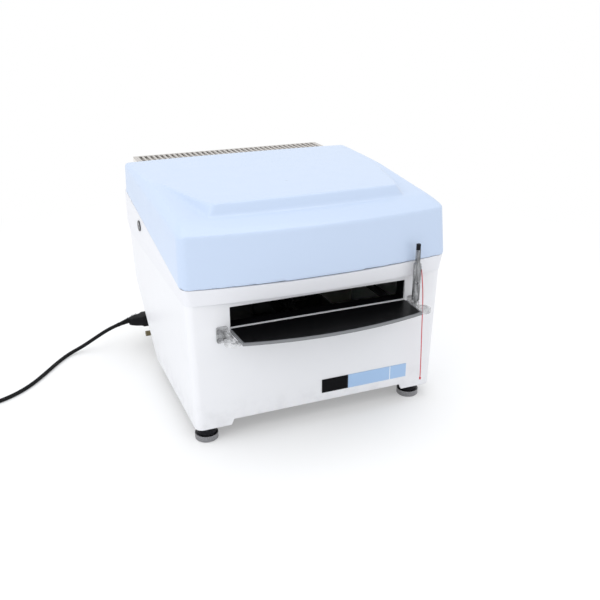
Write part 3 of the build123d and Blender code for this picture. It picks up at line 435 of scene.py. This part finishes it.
class Stock(Enum):
    """Finishes by the record's material slot."""

    HOUSING = DarkenedLow("housing", (0.80, 0.805, 0.83), 0.42, mottle=0.012, grain=0.10,
                      grain_scale=1500)
    COLLAR = Finish("collar", (0.77, 0.775, 0.81), 0.40, mottle=0.012, grain=0.08, grain_scale=1500)
    LID_BLUE = LidFinish("lid_blue", (0.53, 0.63, 0.80), 0.34, mottle=0.012, mottle_scale=6.0,
                         grain=0.03, grain_scale=900, coat=0.15,
                         scuffs=(((-0.2165, -0.187, 0.333), 0.006), ((0.0, -0.05, 0.3655), 0.006)))
    HOOD_BEIGE = DarkenedLow("hood_beige", (0.76, 0.73, 0.68), 0.5, mottle=0.02, grain=0.12,
                         grain_scale=1300)
    GRILLE_GREY = Finish("grille_grey", (0.50, 0.475, 0.45), 0.5, mottle=0.03)
    INNER_STEEL = Brushed("inner_steel", (0.07, 0.071, 0.073), 0.5, metallic=0.6, grain_scale=300,
                          specular=0.2)
    INNER_ALU = Brushed("inner_alu", (0.04, 0.04, 0.043), 0.5, metallic=0.4, grain_scale=300,
                        specular=0.2)
    INNER_BLACK = Finish("inner_black", (0.004, 0.004, 0.005), 0.6, mottle=0.2, grain=0.15,
                         specular=0.05)
    BLACK_PLASTIC = Finish("black_plastic", (0.008, 0.008, 0.010), 0.42, mottle=0.15, grain=0.2,
                           specular=0.1)
    FLAP_BLACK = Finish("flap_black", (0.003, 0.003, 0.0035), 0.34, mottle=0.15, grain=0.004,
                        grain_scale=400, specular=0.12)
    TRIM_GREY = Finish("trim_grey", (0.17, 0.175, 0.185), 0.22, mottle=0.04, grain=0.02, coat=0.5)
    LABEL_DARK = Label("label_dark", (0.004, 0.004, 0.005), 0.3, grain=0.02, specular=0.06,
                       line_x=0.0485, line=(0.05, 0.05, 0.06))
    LABEL_BLUE = Label("label_blue", (0.385, 0.55, 0.79), 0.4, mottle=0.01, grain=0.01, specular=0.2,
                       line_x=0.127)
    SEAL_RUBBER = Finish("seal_rubber", (0.02, 0.02, 0.022), 0.75, mottle=0.2, grain=0.3)
    CLEAR_PLASTIC = Clear("clear_plastic", (0.86, 0.87, 0.88), 0.05, grain=0.02, coat=1.0)
    STEEL = Brushed("steel", (0.62, 0.62, 0.64), 0.28, metallic=1.0, grain_scale=400)
    CHROME = Brushed("chrome", (0.75, 0.75, 0.77), 0.16, metallic=1.0, grain_scale=400, grain=0.03)
    FOOT_METAL = Brushed("foot_metal", (0.30, 0.30, 0.31), 0.36, metallic=1.0, grain_scale=500,
                         along=(12.0, 12.0, 1.0))
    BOARD_GREEN = Circuit("board_green", (0.02, 0.13, 0.06), 0.3)
    SMOKED_PLASTIC = Clear("smoked_plastic", (0.30, 0.31, 0.32), 0.08, grain=0.02, coat=1.0,
                           thin=0.55, streak=(260.0, 260.0, 40.0))
    BURNISHED = Brushed("burnished", (0.05, 0.05, 0.052), 0.3, metallic=0.8, grain_scale=400)
    DULL_BRASS = Brushed("dull_brass", (0.20, 0.17, 0.10), 0.4, metallic=0.8, grain_scale=400)
    CORD_BLACK = Finish("cord_black", (0.008, 0.008, 0.009), 0.5, mottle=0.15, grain=0.25,
                        grain_scale=1500, specular=0.1)
    CORD_RED = Finish("cord_red", (0.62, 0.06, 0.08), 0.45, mottle=0.1, grain=0.3, grain_scale=3000)
    BRASS = Brushed("brass", (0.70, 0.50, 0.22), 0.3, metallic=1.0, grain_scale=400)


class Paintbox:
    """Builds each finish once."""

    def __init__(self) -> None:
        """Starts with no material made."""
        self._made: dict[str, bpy.types.Material] = {}

    def get(self, stock: Stock) -> bpy.types.Material:
        """Material of a finish.

        Args:
            stock: The finish.

        Returns:
            The material, made at the first call.
        """
        if stock.name not in self._made:
            self._made[stock.name] = stock.value.build()
        return self._made[stock.name]


class Bench:
    """Modelling operations on one new piece at a time."""

    @staticmethod
    def clear() -> None:
        """Deselects everything."""
        if bpy.context.object and bpy.context.object.mode != "OBJECT":
            bpy.ops.object.mode_set(mode="OBJECT")
        bpy.ops.object.select_all(action="DESELECT")

    @staticmethod
    def hold(piece: bpy.types.Object) -> None:
        """Makes a piece the only selected and active one."""
        Bench.clear()
        piece.select_set(True)
        bpy.context.view_layer.objects.active = piece

    @staticmethod
    def pick(piece: bpy.types.Object, wanted: Callable[[bpy.types.MeshPolygon], bool]) -> None:
        """Selects faces and opens edit mode in face mode.

        Args:
            piece: The piece.
            wanted: Test of a face.
        """
        Bench.hold(piece)
        bpy.ops.object.mode_set(mode="EDIT")
        bpy.ops.mesh.select_mode(type="FACE")
        bpy.ops.mesh.select_all(action="DESELECT")
        bpy.ops.object.mode_set(mode="OBJECT")
        for face in piece.data.polygons:
            face.select = wanted(face)
        bpy.ops.object.mode_set(mode="EDIT")

    @staticmethod
    def apply(piece: bpy.types.Object, kind: str, **settings: object) -> None:
        """Adds a modifier and applies it.

        Args:
            piece: The piece.
            kind: Modifier type.
            settings: Its properties.
        """
        Bench.hold(piece)
        made = piece.modifiers.new(kind.lower(), kind)
        for key, value in settings.items():
            setattr(made, key, value)
        bpy.ops.object.modifier_apply(modifier=made.name)

    @staticmethod
    def settle(piece: bpy.types.Object, name: str, place: Optional[Matrix] = None) -> bpy.types.Object:
        """Puts the place into the mesh and names the piece.

        Args:
            piece: The piece.
            name: Its name.
            place: Transform to give it first.

        Returns:
            The same piece, its object at the origin.
        """
        Bench.hold(piece)
        if place is not None:
            piece.matrix_world = place @ piece.matrix_world
        bpy.ops.object.transform_apply(location=True, rotation=True, scale=True)
        piece.name = name
        return piece

    @staticmethod
    def soften(piece: bpy.types.Object, width: float, segments: int = 3) -> None:
        """Rounds the edges and smooths the shading.

        Args:
            piece: The piece.
            width: Bevel width in metres.
            segments: Bevel steps.
        """
        Bench.apply(piece, "BEVEL", width=width, segments=segments, limit_method="ANGLE",
                    angle_limit=math.radians(32))
        bpy.ops.object.shade_smooth_by_angle(angle=math.radians(35))

    @staticmethod
    def turned(name: str, profile: Sequence[tuple[float, float]], place: Matrix, sides: int = 32,
               bevel: float = 0.0004) -> bpy.types.Object:
        """Round piece grown along its axis by extruding and scaling.

        Args:
            name: Piece name.
            profile: (distance, radius) pairs in millimetres, in order.
            place: Transform from the local +Z axis.
            sides: Facets round it.
            bevel: Edge width in metres.

        Returns:
            The piece.
        """
        Bench.clear()
        (start, radius), rest = profile[0], profile[1:]
        bpy.ops.mesh.primitive_circle_add(vertices=sides, radius=radius * MM, fill_type="NGON",
                                          location=(0, 0, start * MM))
        piece = bpy.context.object
        bpy.ops.object.mode_set(mode="EDIT")
        bpy.ops.mesh.select_all(action="SELECT")
        for distance, wide in rest:
            bpy.ops.mesh.extrude_region_move(
                TRANSFORM_OT_translate={"value": (0, 0, (distance - start) * MM), "orient_type": "GLOBAL"})
            factor = wide / radius
            bpy.ops.transform.resize(value=(factor, factor, 1))
            start, radius = distance, wide
        bpy.ops.mesh.select_all(action="SELECT")
        bpy.ops.mesh.normals_make_consistent(inside=False)
        bpy.ops.object.mode_set(mode="OBJECT")
        Bench.settle(piece, name, place)
        Bench.soften(piece, bevel, 2)
        return piece

    @staticmethod
    def drawn(name: str, sections: Sequence[tuple[float, float, float]], place: Matrix,
              bevel: float) -> bpy.types.Object:
        """Box-shaped piece grown along its axis by extruding and scaling.

        Args:
            name: Piece name.
            sections: (distance, width, height) in millimetres, in order.
            place: Transform from the local +Z axis.
            bevel: Edge width in metres.

        Returns:
            The piece.
        """
        Bench.clear()
        (start, wide, tall), rest = sections[0], sections[1:]
        bpy.ops.mesh.primitive_plane_add(size=1, location=(0, 0, start * MM))
        piece = bpy.context.object
        piece.scale = (wide * MM, tall * MM, 1)
        bpy.ops.object.transform_apply(location=True, rotation=True, scale=True)
        bpy.ops.object.mode_set(mode="EDIT")
        bpy.ops.mesh.select_all(action="SELECT")
        for distance, next_wide, next_tall in rest:
            bpy.ops.mesh.extrude_region_move(
                TRANSFORM_OT_translate={"value": (0, 0, (distance - start) * MM), "orient_type": "GLOBAL"})
            bpy.ops.transform.resize(value=(next_wide / wide, next_tall / tall, 1))
            start, wide, tall = distance, next_wide, next_tall
        bpy.ops.mesh.select_all(action="SELECT")
        bpy.ops.mesh.normals_make_consistent(inside=False)
        bpy.ops.object.mode_set(mode="OBJECT")
        Bench.settle(piece, name, place)
        Bench.soften(piece, bevel)
        return piece

    @staticmethod
    def join(name: str, pieces: Sequence[bpy.types.Object]) -> bpy.types.Object:
        """Joins pieces into the first of them.

        Args:
            name: Name of the result.
            pieces: The pieces.

        Returns:
            The joined piece.
        """
        Bench.hold(pieces[0])
        for piece in pieces:
            piece.select_set(True)
        bpy.ops.object.join()
        pieces[0].name = name
        return pieces[0]


def facing(origin: Vector, way: Vector, up: Vector = Vector((0, 0, 1))) -> Matrix:
    """Transform that turns local +Z along a direction.

    Args:
        origin: Where the local origin goes.
        way: Direction of local +Z.
        up: Direction that local +Y leans to.

    Returns:
        The transform.
    """
    z_axis = way.normalized()
    x_axis = up.cross(z_axis).normalized()
    y_axis = z_axis.cross(x_axis)
    turn = Matrix((x_axis, y_axis, z_axis)).transposed().to_4x4()
    return Matrix.Translation(origin) @ turn


def route_curve(name: str, points: Sequence[Vector], diameter: float) -> bpy.types.Object:
    """Round cord on one smooth spline.

    Args:
        name: Piece name.
        points: Control points of the spline.
        diameter: Cord thickness in metres.

    Returns:
        The curve object.
    """
    curve = bpy.data.curves.new(name, "CURVE")
    curve.dimensions = "3D"
    curve.bevel_depth = diameter / 2
    curve.bevel_resolution = 5
    curve.resolution_u = 10
    curve.use_fill_caps = True
    spline = curve.splines.new("NURBS")
    spline.points.add(len(points) - 1)
    for knot, spot in zip(spline.points, points):
        knot.co = (*spot, 1.0)
    spline.order_u = 3
    spline.use_endpoint_u = True
    made = bpy.data.objects.new(name, curve)
    bpy.context.scene.collection.objects.link(made)
    return made


@dataclass
class MainsLead:
    """Mains lead with its line socket, coil, tie and plug; points as in the solids."""

    diameter: float = 7.0
    lead: tuple[Point, ...] = (
        (-252, 386.2, 51.5), (-270.8, 388.2, 45.1), (-296, 395.5, 28.5), (-324, 401, 10.5),
        (-352, 391, 3.9),
        (-375, 364, 3.8), (-397, 333, 3.7), (-419, 303, 3.8), (-440, 280, 3.7), (-465, 261, 3.7),
        (-491, 249, 3.7), (-516, 245, 3.7), (-541, 245, 3.7))
    coil_start: Point = (-548.0, 245.0, 3.7)
    coil_outer: float = 48.0
    coil_pitch: float = 7.6
    coil_turns: int = 3
    per_turn: int = 16
    tail: tuple[Point, ...] = (
        (-555, 245, 11.3), (-575, 245, 11.3), (-597, 249, 7.4), (-622, 256, 4.6), (-648, 264, 6.2),
        (-671, 271.2, 11.4), (-691, 277, 13))
    socket_face: float = -191.1
    inlet: tuple[float, float] = (385.0, 55.0)
    length: float = 1.88
    pin_spacing: float = 19.0
    clip_offset: float = 11.6

    def coil(self) -> list[Vector]:
        """Points of the coil: in on the floor, out on top."""
        x0, depth, low = self.coil_start
        total = 2 * self.coil_turns
        spots = []
        for k in range(total * self.per_turn + 1):
            turn = k / self.per_turn
            radius = self.coil_outer - self.coil_pitch * min(turn, total - turn)
            climb = min(max((turn - self.coil_turns + 0.25) / 0.5, 0), 1)
            height = low + self.coil_pitch * climb ** 2 * (3 - 2 * climb)
            angle = math.pi / 2 + 2 * math.pi * turn
            across = depth - self.coil_outer + radius * math.sin(angle)
            spots.append(at(x0 + radius * math.cos(angle), across, height))
        return spots

    def route(self) -> list[Vector]:
        """All control points from the socket to the plug."""
        return [at(*p) for p in self.lead] + self.coil() + [at(*p) for p in self.tail]

    def line_socket(self, paint: Paintbox) -> bpy.types.Object:
        """Moulded line socket with its grip and ribbed strain relief."""
        depth, z = self.inlet
        place = facing(at(self.socket_face, depth, z), Vector((-1, 0, 0)))
        head = Bench.drawn("socket_head", [(0, 28.4, 21.4), (17, 28.4, 21.4), (20, 26, 17.5),
                                           (31, 22, 15.8), (36, 18, 14.6), (43.5, 13, 12)],
                           place, 0.0022)
        nose = Bench.drawn("socket_nose", [(-12.4, 24, 16), (0.5, 24, 16)], place, 0.0015)
        grips = []
        for k in range(4):
            low, wide = 26.5 + 3 * k, 24.4 - 1.6 * k
            raised = place @ Matrix.Translation((0, (7.6 - 0.3 * k) * MM, 0))
            grips.append(Bench.drawn(f"socket_grip_{k}", [(low, wide, 3), (low + 1.2, wide - 0.6, 3)],
                                     raised, 0.0004))
        way = at(*self.lead[1]) - at(*self.lead[0])
        start = at(*self.lead[0]) - way.normalized() * 0.019
        ribs: list[tuple[float, float]] = [(0, 6.0)]
        for k in range(6):
            wide = 5.7 - 0.3 * k
            ribs += [(2 + 3 * k, wide), (2.8 + 3 * k, wide - 0.9), (3.8 + 3 * k, wide - 0.9),
                     (4.5 + 3 * k, wide - 0.2)]
        ribs += [(21.5, 4.0), (23, 3.7)]
        relief = Bench.turned("socket_relief", ribs, facing(start, way), 28, 0.0003)
        piece = Bench.join("line_socket", [head, nose, *grips, relief])
        return dress(piece, Stock.CORD_BLACK, paint, "frame", ["mains_connector"])

    def plug(self, paint: Paintbox) -> list[bpy.types.Object]:
        """Generic round two-pin plug with side contacts."""
        way = Vector((-20, 5.8, 1.6))
        place = facing(at(*self.tail[-1]), way)
        relief = Bench.turned("plug_relief", [(-3, 4.0), (0, 4.2), (4, 4.6), (5, 4.0), (6.5, 4.0),
                                              (7.5, 5.1), (11, 5.5), (12, 4.8), (13.5, 4.8),
                                              (14.5, 6.0), (22, 6.6)], place, 28, 0.0003)
        body = Bench.drawn("plug_body", [(20, 18, 14), (26, 24, 17), (34, 33, 21.5), (38, 35.5, 23.5),
                                         (50, 36, 24)], place, 0.006)
        ribs = []
        for k in range(3):
            low, wide = 26 + 3.4 * k, 22 + 3.0 * k
            raised = place @ Matrix.Translation((0, (8.0 + 1.05 * k) * MM, 0))
            ribs.append(Bench.drawn(f"plug_rib_{k}", [(low, wide, 1.5), (low + 1.4, wide + 1, 1.5)],
                                    raised, 0.0004))
        shell = Bench.join("mains_plug_body", [relief, body, *ribs])
        dress(shell, Stock.CORD_BLACK, paint, "frame", ["mains_plug"])
        pins, clips = [], []
        for side in (-1, 1):
            beside = place @ Matrix.Translation((side * self.pin_spacing / 2 * MM, 0, 0))
            pins.append(Bench.turned(f"plug_pin_{side}", [(50, 2.4), (67.5, 2.4), (69, 1.4)],
                                     beside, 20, 0.0003))
        for side in (-1, 1):
            above = place @ Matrix.Translation((0, side * self.clip_offset * MM, 0))
            clips.append(Bench.drawn(f"plug_clip_{side}", [(40, 8, 0.8), (50.5, 8, 0.8)], above, 0.0002))
        metal = Bench.join("mains_plug_pins", pins + clips)
        dress(metal, Stock.STEEL, paint, "frame", [])
        return [shell, metal]

    def tie(self, paint: Paintbox) -> bpy.types.Object:
        """Flat tie round the coil's bundle."""
        x0, depth, low = self.coil_start
        middle = at(x0 + self.coil_outer - 11.4, depth - self.coil_outer, low + 3.8)
        wide, tall = 33.5, 14.9
        along = facing(middle, Vector((0, 1, 0)))
        ring = Bench.drawn("coil_tie", [(-3, wide, tall), (3, wide, tall)], along, 0.004)
        Bench.pick(ring, lambda face: abs(face.normal.y) > 0.99)
        bpy.ops.mesh.delete(type="FACE")
        bpy.ops.object.mode_set(mode="OBJECT")
        Bench.apply(ring, "SOLIDIFY", thickness=0.0006, offset=-1)
        return dress(ring, Stock.BLACK_PLASTIC, paint, "frame", [])

    def build(self, paint: Paintbox) -> None:
        cord = route_curve("mains_cord", self.route(), self.diameter * MM)
        cord.data.materials.append(paint.get(Stock.CORD_BLACK))
        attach(cord, "frame")
        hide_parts("mains_lead", "mains_coil", "mains_tail")
        ends = [self.line_socket(paint), *self.plug(paint), self.tie(paint)]
        at(*self.lead[0])


@dataclass
class PinCord:
    """Thin cord that hangs from the pin beside the slot."""

    diameter: float = 1.6
    length: float = 0.1984
    points: tuple[Point, ...] = (
        (164.2, -20, 243), (167.2, -20.2, 222), (169.2, -20.4, 202), (170.5, -20.2, 181), (171.3, -20, 158),
        (172.1, -19.8, 134), (173.0, -19.9, 109), (173.8, -20, 84), (174.4, -20, 62), (174.6, -20, 45))

    def build(self, paint: Paintbox) -> None:
        """Makes the cord with a small knot at its end."""
        cord = route_curve("pin_line", [at(*p) for p in self.points], self.diameter * MM)
        cord.data.materials.append(paint.get(Stock.CORD_RED))
        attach(cord, "pin")
        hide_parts("pin_cord")
        down = facing(at(174.6, -20, 50), Vector((0, 0, -1)), Vector((0, 1, 0)))
        knot = Bench.turned("pin_line_knot", [(0, 0.7), (0.8, 1.5), (1.8, 1.9), (2.6, 1.3), (3.4, 1.8),
                                              (4.4, 1.5), (5.2, 0.7)], down, 16, 0.0002)
        dress(knot, Stock.CORD_RED, paint, "pin", [])
        at(*self.points[0])


def dress(piece: bpy.types.Object, stock: Stock, paint: Paintbox, body: str,
          stands_for: Sequence[str]) -> bpy.types.Object:
    """Gives a new piece its finish and its body.

    Args:
        piece: The piece.
        stock: Its finish.
        paint: Made materials.
        body: Body it moves with.
        stands_for: CAD nodes that it stands for.

    Returns:
        The piece.
    """
    piece.data.materials.clear()
    piece.data.materials.append(paint.get(stock))
    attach(piece, body)
    if stands_for:
        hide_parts(*stands_for)
    LOG.info("%s rides on %s", piece.name, body)
    return piece


@dataclass
class MouldedLid:
    """Lid with the soft edges of its moulding."""

    voxel: float = 0.0026
    rounds: int = 3
    seam_z: float = 0.2573
    seam_slope: float = 0.1436
    crisp: float = 0.005

    def build(self, source: bpy.types.Object, paint: Paintbox) -> bpy.types.Object:
        """Copies the lid's solid and rounds its edges above the seam.

        Args:
            source: The lid's CAD node.
            paint: Made materials.

        Returns:
            The piece.
        """
        piece = source.copy()
        piece.data = source.data.copy()
        piece.parent = None
        for key in list(piece.keys()):
            del piece[key]
        bpy.context.scene.collection.objects.link(piece)
        Bench.hold(piece)
        bpy.ops.object.mode_set(mode="EDIT")
        bpy.ops.mesh.select_all(action="SELECT")
        bpy.ops.mesh.remove_doubles(threshold=0.00002)
        bpy.ops.object.mode_set(mode="OBJECT")
        Bench.apply(piece, "REMESH", mode="VOXEL", voxel_size=self.voxel)
        upper = piece.vertex_groups.new(name="upper")
        for vertex in piece.data.vertices:
            seam = self.seam_z + self.seam_slope * (vertex.co.y - FRONT)
            if vertex.co.z > seam + self.crisp:
                upper.add([vertex.index], 1.0, "REPLACE")
        Bench.apply(piece, "SMOOTH", factor=0.5, iterations=self.rounds, vertex_group="upper")
        bpy.ops.object.shade_smooth_by_angle(angle=math.radians(40))
        piece.name = "moulded_lid"
        return dress(piece, Stock.LID_BLUE, paint, "lid", ["lid_shell"])


@dataclass
class Studio:
    """Floor, plain light and the camera at the photograph's angle."""

    eye: Point = (-452.9, -1006.1, 664.7)
    ahead: Point = (0.3543, 0.8537, -0.3817)
    rightward: Point = (0.9236, -0.3833, 0.0)
    upward: Point = (0.1463, 0.3525, 0.9243)
    focal_px: float = 773.4
    picture_px: float = 600.0
    ambient: float = 1.0
    floor_colour: Colour = (0.94, 0.945, 0.955)
    fade: tuple[float, float] = (0.35, 1.6)
    # share of painted white glow over the whole floor, which lightens the object's cast shadow
    lift: float = 0.3

    def camera(self) -> None:
        """Sets the camera."""
        data = bpy.data.cameras.new("camera")
        data.sensor_width = 36.0
        data.lens = self.focal_px / self.picture_px * data.sensor_width
        data.clip_end = 50.0
        holder = bpy.data.objects.new("camera", data)
        bpy.context.scene.collection.objects.link(holder)
        axes = Matrix((Vector(self.rightward), Vector(self.upward), -Vector(self.ahead))).transposed()
        holder.matrix_world = Matrix.Translation(at(*self.eye)) @ axes.to_4x4()
        bpy.context.scene.camera = holder

    def floor(self) -> None:
        """Lays a pale floor that holds the shadow, lightened by a painted white glow, and turns white away
        from the object.
        """
        Bench.clear()
        bpy.ops.mesh.primitive_plane_add(size=30, location=(0, 0, 0))
        ground = bpy.context.object
        ground.name = "studio_floor"
        graph = Graph("studio_floor")
        x, y, _ = graph.axes()
        path = graph.node("ShaderNodeLightPath")
        seen = Signal(graph, path.outputs["Is Camera Ray"]) + Signal(graph, path.outputs["Is Glossy Ray"])
        near = graph.node("ShaderNodeBsdfPrincipled", {}, {
            "Base Color": (*self.floor_colour, 1.0), "Roughness": 0.9, "Specular IOR Level": 0.1})
        far = graph.node("ShaderNodeEmission", {}, {"Color": (1.0, 1.0, 1.0, 1.0), "Strength": 1.0})
        # painted light: for camera and glossy rays a white glow of this share lies over the whole floor and
        # lightens the cast shadow; further out the floor fades to plain white
        share = ((x * x + y * y).ramp(*self.fade) * (1 - self.lift) + self.lift) * seen
        both = graph.node("ShaderNodeMixShader", {}, {0: share, 1: near.outputs[0], 2: far.outputs[0]})
        graph.node("ShaderNodeOutputMaterial", {}, {"Surface": both.outputs[0]})
        ground.data.materials.append(graph.material)

    def sky(self) -> None:
        """White surroundings, dimmer as a lamp than as a background."""
        world = bpy.data.worlds.new("studio")
        bpy.context.scene.world = world
        world.use_nodes = True
        tree = world.node_tree
        tree.nodes.clear()
        path = tree.nodes.new("ShaderNodeLightPath")
        seen = tree.nodes.new("ShaderNodeMath")
        seen.operation = "MAXIMUM"
        tree.links.new(path.outputs["Is Camera Ray"], seen.inputs[0])
        tree.links.new(path.outputs["Is Transmission Ray"], seen.inputs[1])
        soft, plain = tree.nodes.new("ShaderNodeBackground"), tree.nodes.new("ShaderNodeBackground")
        soft.inputs[0].default_value = (0.98, 0.99, 1.0, 1.0)
        soft.inputs[1].default_value = self.ambient
        plain.inputs[0].default_value = (1.0, 1.0, 1.0, 1.0)
        mix = tree.nodes.new("ShaderNodeMixShader")
        tree.links.new(seen.outputs[0], mix.inputs[0])
        tree.links.new(soft.outputs[0], mix.inputs[1])
        tree.links.new(plain.outputs[0], mix.inputs[2])
        output = tree.nodes.new("ShaderNodeOutputWorld")
        tree.links.new(mix.outputs[0], output.inputs[0])

    def lamp(self, name: str, place: Point, size: float, power: float) -> None:
        """Soft area lamp aimed at the object.

        Args:
            name: Lamp name.
            place: Where it hangs, in metres.
            size: Edge of its square, in metres.
            power: Watts.
        """
        data = bpy.data.lights.new(name, "AREA")
        data.size = size
        data.energy = power
        holder = bpy.data.objects.new(name, data)
        bpy.context.scene.collection.objects.link(holder)
        way = Vector((0, 0, 0.18)) - Vector(place)
        turn = way.to_track_quat("-Z", "Y").to_matrix().to_4x4()
        holder.matrix_world = Matrix.Translation(Vector(place)) @ turn

    def build(self) -> None:
        """Sets up the whole studio."""
        self.camera()
        self.floor()
        self.sky()
        self.lamp("key", (-1.9, -0.9, 1.6), 1.5, 12.0)
        self.lamp("top", (0.2, 0.3, 2.8), 2.0, 12.0)
        bpy.context.scene.view_settings.view_transform = "Standard"


@dataclass
class PlateReader:
    """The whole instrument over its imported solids."""

    frame: dict
    paint: Paintbox = field(default_factory=Paintbox)
    own_finish: dict[str, Stock] = field(default_factory=lambda: {
        "lock_pin": Stock.SMOKED_PLASTIC, "lock_ring": Stock.BURNISHED, "earth_knob": Stock.DULL_BRASS,
        "screws": Stock.FOOT_METAL, "plate_carrier": Stock.INNER_BLACK, "y_bridge": Stock.INNER_BLACK,
        "optics_head": Stock.BLACK_PLASTIC})

    def paint_solids(self) -> None:
        """Gives each CAD node the finish of its slot, or its own where it has one."""
        for entry in self.frame["record"]["subparts"]:
            node = self.frame["nodes"][entry["node"]]
            stock = self.own_finish.get(entry["node"], Stock[entry["material_slot"].upper()])
            if not node.material_slots:
                node.data.materials.append(None)
            for spot in node.material_slots:
                spot.material = self.paint.get(stock)
        LOG.info("painted %d solids", len(self.frame["nodes"]))

    def build(self) -> None:
        """Makes every piece in order."""
        MainsLead().build(self.paint)
        PinCord().build(self.paint)
        self.paint_solids()
        MouldedLid().build(self.frame["nodes"]["lid_shell"], self.paint)


def main() -> None:
    """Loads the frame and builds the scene."""
    logging.basicConfig(level=logging.INFO, format="%(message)s")
    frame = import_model()
    Studio().build()
    PlateReader(frame).build()
    bpy.context.view_layer.update()
    LOG.info("built")


if __name__ == "__main__":
    main()
